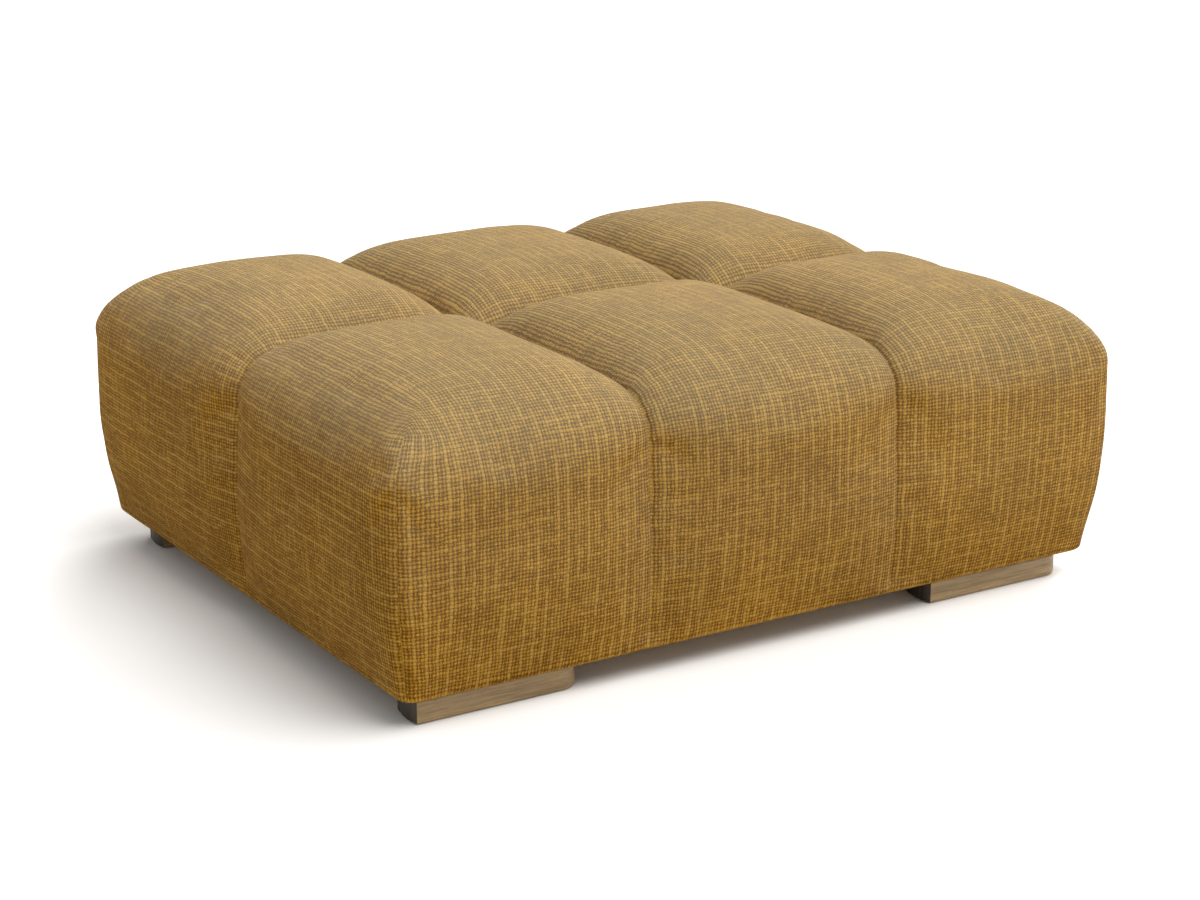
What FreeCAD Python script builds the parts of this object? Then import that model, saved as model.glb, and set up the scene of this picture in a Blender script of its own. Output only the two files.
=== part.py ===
"""Upholstered storage ottoman: a quilted hood hinged along the rear over a low storage box on four feet.

Millimetres, +Z up, origin on the floor under the middle. The long side runs along X and the front is -Y.
"""

import FreeCAD
import Part
import math
import os

Vector = FreeCAD.Vector

# Overall size of the upholstered hood, with its cover
overall_length = 1120.0
overall_depth = 920.0
overall_height = 382.0

# Padding and cover
cells_along = 3
cells_deep = 2
cover_thickness = 2.0
cover_clearance = 0.2
corner_radius = 92.0
corner_tightening = 1.6
top_edge_radius = 85.0
hem_height = 34.0
hem_tuck = 27.0
hem_radius = 10.0
bulge_height = 190.0
smallest_corner = 5.0
pad_gap = 4.0
pad_clearance = 0.2
hem_pad_front = 18.0
hem_pad_side = 19.0
hem_pad_rear = 6.0
top_pad_height = 80.0

# Hood frame
board_thickness = 12.0
top_board_thickness = 15.0
board_above_hem = 4.0
rear_board_above_hem = 20.0
post_width = 20.0
lining_thickness = 2.0
lining_margin = 2.0

# Feet
foot_height = 30.0
foot_length = 228.0
foot_depth = 70.0
foot_inset_x = 64.0
foot_inset_front = 47.0
foot_round = 28.0
foot_bow = 3.0
glide_radius = 12.0
glide_height = 4.0
glide_proud = 1.0
glide_spacing = 120.0

# Base and storage box
base_panel_thickness = 15.0
base_gap_front = 6.0
base_gap_side = 8.0
panel_thickness = 12.0
box_height = 217.0
box_side_gap = 38.0
swing_clearance = 10.0
mat_thickness = 3.0
mat_margin = 2.0

# Continuous hinge
leaf_thickness = 2.0
base_leaf_width = 26.0
hood_leaf_height = 34.0
hood_leaf_screw_height = 20.4
knuckle_radius = 4.5
knuckle_length = 40.0
knuckle_gap = 0.4
knuckle_count = 23
pin_radius = 2.0
pin_clearance = 0.05
leaf_gap = 0.5
hinge_height = 48.0
foot_to_hinge = 12.0
panel_to_hinge = 14.0

# Gas struts: pivots given as distances forward of the hinge axis and above it
opening_angle = 58.0
base_pivot_forward = 165.0
base_pivot_up = 16.0
hood_pivot_forward = 55.0
hood_pivot_up = 150.0
strut_radius = 7.5
strut_bore_radius = 6.2
strut_cap = 8.0
strut_neck = 12.0
rod_radius = 4.0
rod_clearance = 0.1
piston_radius = 6.1
piston_length = 8.0
eye_radius = 8.0
eye_width = 10.0
stud_radius = 4.0
stud_clearance = 0.05
bracket_thickness = 3.0
bracket_length = 40.0
bracket_height = 30.0
bracket_screw_spacing = 28.0
open_pivot_clearance = 0.5

# Fasteners
screw_radius = 2.0
screw_head_radius = 4.0
screw_head_height = 2.2
screw_clearance = 0.05
screw_margin = 60.0
screws_along = 5
screws_across = 3
frame_screw_length = 45.0
hinge_screw_length = 11.0
bolt_radius = 3.0
bolt_head_radius = 6.5
bolt_head_height = 4.0
bolt_in_foot = 16.0
bolt_end_margin = 19.5
bolt_wall_margin = 13.0
buffer_radius = 5.0
buffer_gap = 0.3
buffer_margin = 1.0
weld_overlap = 1.0

# Places worked out from the sizes above
half_length = overall_length / 2
half_depth = overall_depth / 2
front_board_out = -(half_depth - hem_tuck - cover_thickness - hem_pad_front)
rear_board_out = half_depth - hem_tuck - cover_thickness - hem_pad_rear
side_board_out = half_length - hem_tuck - cover_thickness - hem_pad_side
front_board_in = front_board_out + board_thickness
rear_board_in = rear_board_out - board_thickness
side_board_in = side_board_out - board_thickness
top_board_top = overall_height - cover_thickness - top_pad_height
top_board_under = top_board_top - top_board_thickness
board_bottom = hem_height + board_above_hem
rear_board_bottom = hem_height + rear_board_above_hem

hinge_y = rear_board_in - leaf_thickness
base_top = foot_height + base_panel_thickness
base_front = front_board_in + base_gap_front
base_rear = hinge_y - panel_to_hinge
base_side = side_board_in - base_gap_side
box_top = base_top + box_height
box_side = side_board_in - box_side_gap
swing_radius = hinge_y - front_board_in - swing_clearance
box_front = hinge_y - math.sqrt(swing_radius**2 - (box_top - hinge_height) ** 2)
box_rear = base_rear - base_leaf_width + knuckle_radius
box_inner_front = box_front + panel_thickness
box_inner_rear = box_rear - panel_thickness
box_inner_side = box_side - panel_thickness

foot_outer_x = half_length - foot_inset_x
foot_front_y = -(half_depth - foot_inset_front)
foot_rear_y = hinge_y - foot_to_hinge
strut_x = (box_side + side_board_in) / 2

parts = {}


def block(x0, x1, y0, y1, z0, z1):
    """A box between two corners."""
    return Part.makeBox(x1 - x0, y1 - y0, z1 - z0, Vector(x0, y0, z0))


def block_between(low, high):
    """A box from its lowest to its highest corner."""
    return block(low.x, high.x, low.y, high.y, low.z, high.z)


def rod_between(radius, start, end):
    """A round bar from start to end."""
    return Part.makeCylinder(radius, (end - start).Length, start, end - start)


def mirrored_x(shape):
    """The shape's twin on the other side of the YZ plane."""
    return shape.mirror(Vector(0, 0, 0), Vector(1, 0, 0))


def spread(low, high, count):
    """Evenly spaced values from low to high."""
    return [low + (high - low) * i / (count - 1) for i in range(count)]


# ---------------------------------------------------------------- upholstery


def rounded_rectangle(half_x, half_y, radius, z):
    """A closed outline with rounded corners at height z."""
    corners = []
    for sign_x, sign_y, start in ((1, 1, 0), (-1, 1, 90), (-1, -1, 180), (1, -1, 270)):
        centre = Vector(sign_x * (half_x - radius), sign_y * (half_y - radius), z)
        points = []
        for angle in (start, start + 45, start + 90):
            turn = math.radians(angle)
            points.append(centre + Vector(radius * math.cos(turn), radius * math.sin(turn), 0))
        corners.append(points)
    edges = []
    for number, (first, middle, last) in enumerate(corners):
        next_first = corners[(number + 1) % len(corners)][0]
        edges.append(Part.Arc(first, middle, last).toShape())
        edges.append(Part.LineSegment(last, next_first).toShape())
    return Part.Wire(edges)


def side_profile():
    """Pairs of inset and height that follow the padded side from the hem up to the top."""
    profile = [(hem_tuck + hem_radius, hem_height)]
    for angle in (30, 60, 90):
        turn = math.radians(angle)
        inset = hem_tuck + hem_radius * (1 - math.sin(turn))
        profile.append((inset, hem_height + hem_radius * (1 - math.cos(turn))))
    rise = bulge_height - hem_height - hem_radius
    for share in (0.25, 0.5, 0.75, 1.0):
        inset = hem_tuck * (1 - math.sin(share * math.pi / 2))
        profile.append((inset, hem_height + hem_radius + rise * share))
    profile.append((0.0, overall_height - top_edge_radius))
    for angle in (22.5, 45, 67.5, 90):
        turn = math.radians(angle)
        inset = top_edge_radius * (1 - math.cos(turn))
        profile.append((inset, overall_height - top_edge_radius * (1 - math.sin(turn))))
    return profile


def padded_form(shrink, bottom):
    """The hood's outer form made smaller by shrink all round, cut off below bottom."""
    wires = []
    for inset, height in side_profile():
        tightening = corner_tightening if height < bulge_height else 1.0
        radius = max(corner_radius - tightening * inset - shrink, smallest_corner)
        inward = inset + shrink
        z = min(height, overall_height - shrink)
        wires.append(rounded_rectangle(half_length - inward, half_depth - inward, radius, z))
    form = Part.makeLoft(wires, True, True)
    floor = block(-half_length, half_length, -half_depth, half_depth, 0, bottom)
    return form.cut(floor)


def make_upholstery():
    """The sewn cover and the foam pads under it, one pad for each quilted cell."""
    outer = padded_form(0.0, hem_height)
    inner = padded_form(cover_thickness, hem_height + cover_thickness)
    mouth = block(-side_board_in, side_board_in, front_board_in, rear_board_in, 0, top_board_under)
    parts["cover"] = outer.cut(inner).cut(mouth)

    foam_shrink = cover_thickness + cover_clearance
    foam = padded_form(foam_shrink, hem_height + foam_shrink)
    along = spread(-half_length, half_length, cells_along + 1)
    across = spread(-half_depth, half_depth, cells_deep + 1)
    columns = ("left", "centre", "right")
    rows = ("front", "rear")
    half_gap = pad_gap / 2

    def cell(low, high, first, last):
        """One cell's limits with half the channel gap taken off its inner ends."""
        return low + (0 if first else half_gap), high - (0 if last else half_gap)

    pad_floor = top_board_top + pad_clearance
    side_top = top_board_top - pad_clearance
    for i, column in enumerate(columns):
        x0, x1 = cell(along[i], along[i + 1], i == 0, i == cells_along - 1)
        for j, row in enumerate(rows):
            y0, y1 = cell(across[j], across[j + 1], j == 0, j == cells_deep - 1)
            above = block(x0, x1, y0, y1, pad_floor, overall_height)
            parts[f"top_pad_{row}_{column}"] = foam.common(above)
        front = block(x0, x1, -half_depth, front_board_out - pad_clearance, 0, side_top)
        rear = block(x0, x1, rear_board_out + pad_clearance, half_depth, 0, side_top)
        parts[f"front_pad_{column}"] = foam.common(front)
        parts[f"rear_pad_{column}"] = foam.common(rear)
    limits = [front_board_out, 0.0, rear_board_out]
    for j, row in enumerate(rows):
        y0, y1 = cell(limits[j], limits[j + 1], j == 0, j == cells_deep - 1)
        side = block(side_board_out + pad_clearance, half_length, y0, y1, 0, side_top)
        pad = foam.common(side)
        parts[f"right_pad_{row}"] = pad
        parts[f"left_pad_{row}"] = mirrored_x(pad)


# ---------------------------------------------------------------- fasteners


def screw(head, direction, length):
    """A countersunk screw whose head face is at head and whose shank points along direction."""
    cone = Part.makeCone(screw_head_radius, screw_radius, screw_head_height, head, direction)
    return cone.fuse(Part.makeCylinder(screw_radius, length, head, direction))


def screw_hole(head, direction, length):
    """The hole that such a screw sits in, a little wider than the screw."""
    wide = screw_radius + screw_clearance
    cone = Part.makeCone(screw_head_radius + screw_clearance, wide, screw_head_height, head, direction)
    return cone.fuse(Part.makeCylinder(wide, length + screw_clearance, head, direction))


def drive(places, direction, length, nodes):
    """Cuts the holes for screws at places into the named parts, and gives the screws back as one group."""
    holes = Part.makeCompound([screw_hole(p, direction, length) for p in places])
    for node in nodes:
        parts[node] = parts[node].cut(holes)
    return [screw(p, direction, length) for p in places]


# ---------------------------------------------------------------- feet and base


def foot_outline(z):
    """Plan of the front left foot: a sharp outer front corner, gently bowed ends and two round corners."""
    x0 = -foot_outer_x
    x1 = x0 + foot_length
    y0 = foot_front_y
    y1 = y0 + foot_depth
    r = foot_round
    diagonal = r * (1 - math.sqrt(0.5))
    corner = Vector(x0, y0, z)
    front_end = Vector(x1 - r, y0, z)
    right_low = Vector(x1, y0 + r, z)
    right_high = Vector(x1, y1, z)
    rear_end = Vector(x0 + r, y1, z)
    left_high = Vector(x0, y1 - r, z)
    edges = [
        Part.LineSegment(corner, front_end),
        Part.Arc(front_end, Vector(x1 - diagonal, y0 + diagonal, z), right_low),
        Part.Arc(right_low, Vector(x1 + foot_bow, (y0 + r + y1) / 2, z), right_high),
        Part.LineSegment(right_high, rear_end),
        Part.Arc(rear_end, Vector(x0 + diagonal, y1 - diagonal, z), left_high),
        Part.Arc(left_high, Vector(x0 - foot_bow, (y0 + y1 - r) / 2, z), corner),
    ]
    return Part.Wire([edge.toShape() for edge in edges])


def make_feet():
    """Four wooden feet with two glides let into the underside of each."""
    front_left = Part.Face(foot_outline(glide_proud)).extrude(Vector(0, 0, foot_height - glide_proud))
    shift_right = 2 * foot_outer_x - foot_length
    shift_rear = foot_rear_y - foot_depth - foot_front_y
    x_middle = -foot_outer_x + foot_length / 2
    y_middle = foot_front_y + foot_depth / 2
    glides = []
    for row, shift_y in (("front", 0.0), ("rear", shift_rear)):
        for column, shift_x in (("left", 0.0), ("right", shift_right)):
            shift = Vector(shift_x, shift_y, 0)
            foot = front_left.copy()
            foot.translate(shift)
            for sign in (-1, 1):
                place = Vector(x_middle + sign * glide_spacing / 2, y_middle, 0) + shift
                glide = Part.makeCylinder(glide_radius, glide_height, place)
                glides.append(glide)
                foot = foot.cut(glide)
            parts[f"foot_{row}_{column}"] = foot
    parts["foot_glides"] = Part.makeCompound(glides)


def bolt(top, grow):
    """A bolt with its head face at top and its shank pointing down, wider by grow."""
    down = Vector(0, 0, -1)
    length = base_panel_thickness + bolt_in_foot + grow
    head = Part.makeCylinder(bolt_head_radius + grow, bolt_head_height, top, down)
    return head.fuse(Part.makeCylinder(bolt_radius + grow, length, top, down))


def bolt_feet():
    """Two bolts down from the base panel into each foot."""
    bolts = []
    rows_y = {"front": (base_front + box_front) / 2, "rear": box_inner_rear - bolt_wall_margin}
    inner_x = foot_outer_x - foot_length + bolt_end_margin
    outer_x = box_inner_side - bolt_wall_margin
    for row, y in rows_y.items():
        for column, sign in (("left", -1), ("right", 1)):
            for x in (inner_x, outer_x):
                top = Vector(sign * x, y, base_top)
                bolts.append(bolt(top, 0.0))
                hole = bolt(top, screw_clearance)
                for node in ("base_panel", f"foot_{row}_{column}"):
                    parts[node] = parts[node].cut(hole)
    parts["foot_bolts"] = Part.makeCompound(bolts)


def make_box():
    """The base panel and the four sides of the storage box standing on it."""
    parts["base_panel"] = block(-base_side, base_side, base_front, base_rear, foot_height, base_top)
    parts["box_front_panel"] = block(-box_side, box_side, box_front, box_inner_front, base_top, box_top)
    parts["box_rear_panel"] = block(-box_side, box_side, box_inner_rear, box_rear, base_top, box_top)
    for side, sign in (("left", -1), ("right", 1)):
        panel = block(box_inner_side, box_side, box_inner_front, box_inner_rear, base_top, box_top)
        parts[f"box_{side}_panel"] = panel if sign > 0 else mirrored_x(panel)
    up = Vector(0, 0, 1)
    middle_front = (box_front + box_inner_front) / 2
    middle_rear = (box_rear + box_inner_rear) / 2
    middle_side = (box_side + box_inner_side) / 2
    along = spread(screw_margin - box_side, box_side - screw_margin, screws_along)
    across = spread(box_inner_front + screw_margin, box_inner_rear - screw_margin, screws_across)
    screws = []
    for side, y in (("front", middle_front), ("rear", middle_rear)):
        places = [Vector(x, y, foot_height) for x in along]
        screws += drive(places, up, frame_screw_length, ["base_panel", f"box_{side}_panel"])
    for side, sign in (("left", -1), ("right", 1)):
        places = [Vector(sign * middle_side, y, foot_height) for y in across]
        screws += drive(places, up, frame_screw_length, ["base_panel", f"box_{side}_panel"])
    parts["box_screws"] = Part.makeCompound(screws)
    parts["box_floor_mat"] = block(
        mat_margin - box_inner_side, box_inner_side - mat_margin, box_inner_front + mat_margin,
        box_inner_rear - mat_margin, base_top, base_top + mat_thickness,
    )


# ---------------------------------------------------------------- hood frame


def make_hood_frame():
    """Top board, four sides, corner posts, lining and the rubber buffers that the hood lands on."""
    parts["hood_top_board"] = block(
        -side_board_out, side_board_out, front_board_out, rear_board_out, top_board_under, top_board_top
    )
    parts["hood_front_board"] = block(
        -side_board_out, side_board_out, front_board_out, front_board_in, board_bottom, top_board_under
    )
    parts["hood_rear_board"] = block(
        -side_board_out, side_board_out, rear_board_in, rear_board_out, rear_board_bottom, top_board_under
    )
    envelope = padded_form(cover_thickness + cover_clearance, hem_height + cover_thickness)
    for node in ("hood_front_board", "hood_rear_board"):
        parts[node] = parts[node].common(envelope)
    side = block(side_board_in, side_board_out, front_board_in, rear_board_in, board_bottom, top_board_under)
    parts["hood_right_board"] = side
    parts["hood_left_board"] = mirrored_x(side)
    x0, x1 = side_board_in - post_width, side_board_in
    for row, y0 in (("front", front_board_in), ("rear", rear_board_in - post_width)):
        post = block(x0, x1, y0, y0 + post_width, rear_board_bottom, top_board_under)
        parts[f"hood_post_{row}_right"] = post
        parts[f"hood_post_{row}_left"] = mirrored_x(post)
    lining_x = side_board_in - post_width - lining_margin
    parts["hood_lining"] = block(
        -lining_x, lining_x, front_board_in + post_width + lining_margin,
        rear_board_in - post_width - lining_margin, top_board_under - lining_thickness, top_board_under,
    )
    down = Vector(0, 0, -1)
    half = board_thickness / 2
    along = spread(screw_margin - side_board_in, side_board_in - screw_margin, screws_along)
    across = spread(front_board_in + screw_margin, rear_board_in - screw_margin, screws_across)
    screws = []
    for side, y in (("front", front_board_out + half), ("rear", rear_board_out - half)):
        places = [Vector(x, y, top_board_top) for x in along]
        screws += drive(places, down, frame_screw_length, ["hood_top_board", f"hood_{side}_board"])
    for side, sign in (("left", -1), ("right", 1)):
        places = [Vector(sign * (side_board_out - half), y, top_board_top) for y in across]
        screws += drive(places, down, frame_screw_length, ["hood_top_board", f"hood_{side}_board"])
    parts["hood_screws"] = Part.makeCompound(screws)

    buffer_height = rear_board_bottom - base_top - buffer_gap
    buffer_x = base_side - buffer_radius - buffer_margin
    buffer_y = base_front + buffer_radius + buffer_margin
    places = [Vector(sign * buffer_x, buffer_y, base_top) for sign in (-1, 1)]
    buffers = [Part.makeCylinder(buffer_radius, buffer_height, place) for place in places]
    parts["hood_buffers"] = Part.makeCompound(buffers)


# ---------------------------------------------------------------- hinge


def make_hinge():
    """A continuous hinge: two leaves with alternating knuckles on one pin, and their screws."""
    span = knuckle_count * knuckle_length
    start = -span / 2
    axis_start = Vector(start, hinge_y, hinge_height)
    axis_end = Vector(-start, hinge_y, hinge_height)
    leaf_top = base_top + leaf_thickness
    leaf_front = base_rear - base_leaf_width + knuckle_radius
    leaf_rear = hinge_y - knuckle_radius - leaf_gap
    hood_low = hinge_height + knuckle_radius + leaf_gap
    hood_rear = hinge_y + leaf_thickness
    base_leaf = block(start, -start, leaf_front, leaf_rear, base_top, leaf_top)
    hood_leaf = block(start, -start, hinge_y, hood_rear, hood_low, hinge_height + hood_leaf_height)
    for number in range(knuckle_count):
        x0 = start + number * knuckle_length + knuckle_gap / 2
        x1 = x0 + knuckle_length - knuckle_gap
        barrel_start = Vector(x0, hinge_y, hinge_height)
        barrel_end = Vector(x1, hinge_y, hinge_height)
        barrel = rod_between(knuckle_radius, barrel_start, barrel_end)
        if number % 2 == 0:
            tongue = block(x0, x1, base_rear, hinge_y, base_top, leaf_top)
            base_leaf = base_leaf.fuse([barrel, tongue])
        else:
            tongue = block(x0, x1, hinge_y, hood_rear, hinge_height, hood_low + weld_overlap)
            hood_leaf = hood_leaf.fuse([barrel, tongue])
    bore = rod_between(pin_radius + pin_clearance, axis_start, axis_end)
    parts["hinge_base_leaf"] = base_leaf.cut(bore).removeSplitter()
    parts["hinge_hood_leaf"] = hood_leaf.cut(bore).removeSplitter()
    parts["hinge_pin"] = rod_between(pin_radius, axis_start, axis_end)

    hood_knuckles = range(1, knuckle_count, 2)
    places_x = [start + knuckle_length * (number + 0.5) for number in hood_knuckles]
    base_y = (leaf_front + base_rear) / 2
    heads = [Vector(x, base_y, leaf_top) for x in places_x]
    screws = drive(heads, Vector(0, 0, -1), hinge_screw_length, ["hinge_base_leaf", "base_panel"])
    parts["hinge_base_screws"] = Part.makeCompound(screws)
    heads = [Vector(x, hinge_y, hinge_height + hood_leaf_screw_height) for x in places_x]
    screws = drive(heads, Vector(0, 1, 0), hinge_screw_length, ["hinge_hood_leaf", "hood_rear_board"])
    parts["hinge_hood_screws"] = Part.makeCompound(screws)


# ---------------------------------------------------------------- gas struts


def pivot(forward, up, angle=0.0):
    """A point beside the hinge axis, in the plane of the struts, with the hood opened by angle."""
    turn = math.radians(angle)
    y = forward * math.cos(turn) - up * math.sin(turn)
    z = forward * math.sin(turn) + up * math.cos(turn)
    return Vector(strut_x, hinge_y - y, hinge_height + z)


def make_struts():
    """A gas strut on each side: cylinder on the box, rod up to the hood, both brackets with their studs."""
    low = pivot(base_pivot_forward, base_pivot_up)
    high = pivot(hood_pivot_forward, hood_pivot_up)
    opened = pivot(hood_pivot_forward, hood_pivot_up, opening_angle)
    closed_length = (high - low).Length
    stroke = (opened - low).Length - closed_length
    line = (high - low).normalize()

    def along(distance):
        """A point on the strut's axis, measured up from its lower pivot."""
        return low + line * distance

    cap_end = strut_neck + strut_cap
    bore_start = strut_neck + strut_cap / 2
    bore_end = cap_end + piston_length + stroke + 2 * rod_clearance
    tube_end = bore_end + strut_cap
    half_eye = Vector(eye_width / 2, 0, 0)
    cylinder = rod_between(strut_radius, along(strut_neck), along(tube_end))
    cylinder = cylinder.cut(rod_between(strut_bore_radius, along(bore_start), along(bore_end)))
    gland = rod_between(rod_radius + rod_clearance, along(cap_end), along(tube_end + weld_overlap))
    cylinder = cylinder.cut(gland)
    cylinder = cylinder.fuse(rod_between(rod_radius, low, along(strut_neck + weld_overlap)))
    cylinder = cylinder.fuse(rod_between(eye_radius, low - half_eye, low + half_eye))
    stud_hole = rod_between(stud_radius + stud_clearance, low - half_eye * 2, low + half_eye * 2)
    cylinder = cylinder.cut(stud_hole)
    piston_start = bore_start + rod_clearance
    rod = rod_between(rod_radius, along(piston_start), high)
    rod = rod.fuse(rod_between(piston_radius, along(piston_start), along(piston_start + piston_length)))
    rod = rod.fuse(rod_between(eye_radius, high - half_eye, high + half_eye))

    half_plate = Vector(0, bracket_length / 2, bracket_height / 2)
    plate_depth = Vector(bracket_thickness, 0, 0)
    on_box = Vector(box_side, low.y, low.z)
    on_board = Vector(side_board_in, high.y, high.z)
    base_plate = block_between(on_box - half_plate, on_box + half_plate + plate_depth)
    base_stud = rod_between(stud_radius, on_box, low + half_eye)
    hood_plate = block_between(on_board - half_plate - plate_depth, on_board + half_plate)
    stud_end = high + half_eye + Vector(open_pivot_clearance, 0, 0)
    hood_stud = rod_between(stud_radius, stud_end, on_board)
    parts["strut_right_cylinder"] = cylinder
    parts["strut_right_rod"] = rod
    parts["strut_right_base_bracket"] = base_plate.fuse(base_stud)
    parts["strut_right_hood_bracket"] = hood_plate.fuse(hood_stud)
    for piece in ("cylinder", "rod", "base_bracket", "hood_bracket"):
        parts[f"strut_left_{piece}"] = mirrored_x(parts[f"strut_right_{piece}"])

    reach = bracket_screw_spacing / 2
    base_x = box_side + bracket_thickness
    hood_x = side_board_in - bracket_thickness
    base_screws = []
    hood_screws = []
    for side, sign in (("left", -1), ("right", 1)):
        heads = [Vector(sign * base_x, low.y + step, low.z) for step in (-reach, reach)]
        nodes = [f"strut_{side}_base_bracket", f"box_{side}_panel"]
        base_screws += drive(heads, Vector(-sign, 0, 0), hinge_screw_length, nodes)
        heads = [Vector(sign * hood_x, high.y + step, high.z) for step in (-reach, reach)]
        nodes = [f"strut_{side}_hood_bracket", f"hood_{side}_board"]
        hood_screws += drive(heads, Vector(sign, 0, 0), hinge_screw_length, nodes)
    parts["strut_base_screws"] = Part.makeCompound(base_screws)
    parts["strut_hood_screws"] = Part.makeCompound(hood_screws)

    closed_angle = math.degrees(math.atan2(high.z - low.z, high.y - low.y))
    open_angle = math.degrees(math.atan2(opened.z - low.z, opened.y - low.y))
    print(f"hinge axis y {hinge_y:.3f} z {hinge_height:.3f}")
    print(f"strut lower pivot x {strut_x:.3f} y {low.y:.3f} z {low.z:.3f}, line {line.y:.6f} {line.z:.6f}")
    print(f"strut turns {closed_angle - open_angle:.4f} degrees as the hood opens by {opening_angle}")
    print(f"strut slides {stroke:.4f} mm")
    print(f"closed length {closed_length:.2f}, tube ends at {tube_end:.2f}")


make_upholstery()
make_hood_frame()
make_box()
make_feet()
bolt_feet()
make_hinge()
make_struts()

os.makedirs("parts", exist_ok=True)
for name, shape in parts.items():
    solids = shape.Solids
    whole = solids[0] if len(solids) == 1 else Part.makeCompound(solids)
    whole.exportStep(f"parts/{name}.step")
    state = "valid" if whole.isValid() else "INVALID"
    print(name, len(solids), "solids", f"{whole.Volume / 1000:.1f} cm3", state)
print(len(parts), "parts")
print(f"storage inside x {box_inner_side:.1f} y {box_inner_front:.1f} to {box_inner_rear:.1f}")
print(f"storage inside z {base_top:.1f} to {box_top:.1f}")
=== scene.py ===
"""Looks of the quilted storage ottoman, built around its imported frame.

Metres throughout, +Z up. The long side runs along X, the front is towards -Y and the floor is at z = 0.
"""

import logging
import math
from dataclasses import dataclass
from enum import Enum
from functools import cache
from typing import Callable

import bmesh
import bpy
import numpy as np
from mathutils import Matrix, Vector, noise


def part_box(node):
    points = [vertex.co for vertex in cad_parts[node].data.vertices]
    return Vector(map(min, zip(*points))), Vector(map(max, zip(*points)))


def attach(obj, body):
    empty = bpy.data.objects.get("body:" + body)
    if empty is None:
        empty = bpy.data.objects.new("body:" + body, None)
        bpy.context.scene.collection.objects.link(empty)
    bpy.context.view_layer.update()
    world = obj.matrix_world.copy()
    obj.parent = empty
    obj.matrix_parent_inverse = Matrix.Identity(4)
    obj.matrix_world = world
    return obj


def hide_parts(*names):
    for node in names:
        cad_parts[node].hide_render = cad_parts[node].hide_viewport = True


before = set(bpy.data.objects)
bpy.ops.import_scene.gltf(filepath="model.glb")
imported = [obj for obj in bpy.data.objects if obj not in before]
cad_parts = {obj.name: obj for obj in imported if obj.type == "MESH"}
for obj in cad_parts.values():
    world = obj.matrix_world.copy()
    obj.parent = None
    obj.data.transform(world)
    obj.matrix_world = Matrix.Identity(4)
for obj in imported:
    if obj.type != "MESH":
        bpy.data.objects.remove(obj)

LOG = logging.getLogger("ottoman")
WEAVE_MAP = "weave"
CORNERS = ("front_left", "front_right", "rear_left", "rear_right")

Colour = tuple[float, float, float]
Place = tuple[float, float, float]
Socket = bpy.types.NodeSocket


class Axis(Enum):
    """A direction of the frame, by its place in a coordinate."""

    X = 0
    Y = 1
    Z = 2


class Panel(Enum):
    """The five panels that the cover is cut from."""

    TOP = "top"
    FRONT = "front"
    REAR = "rear"
    LEFT = "left"
    RIGHT = "right"


# ---------------------------------------------------------------- shader wiring


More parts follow.
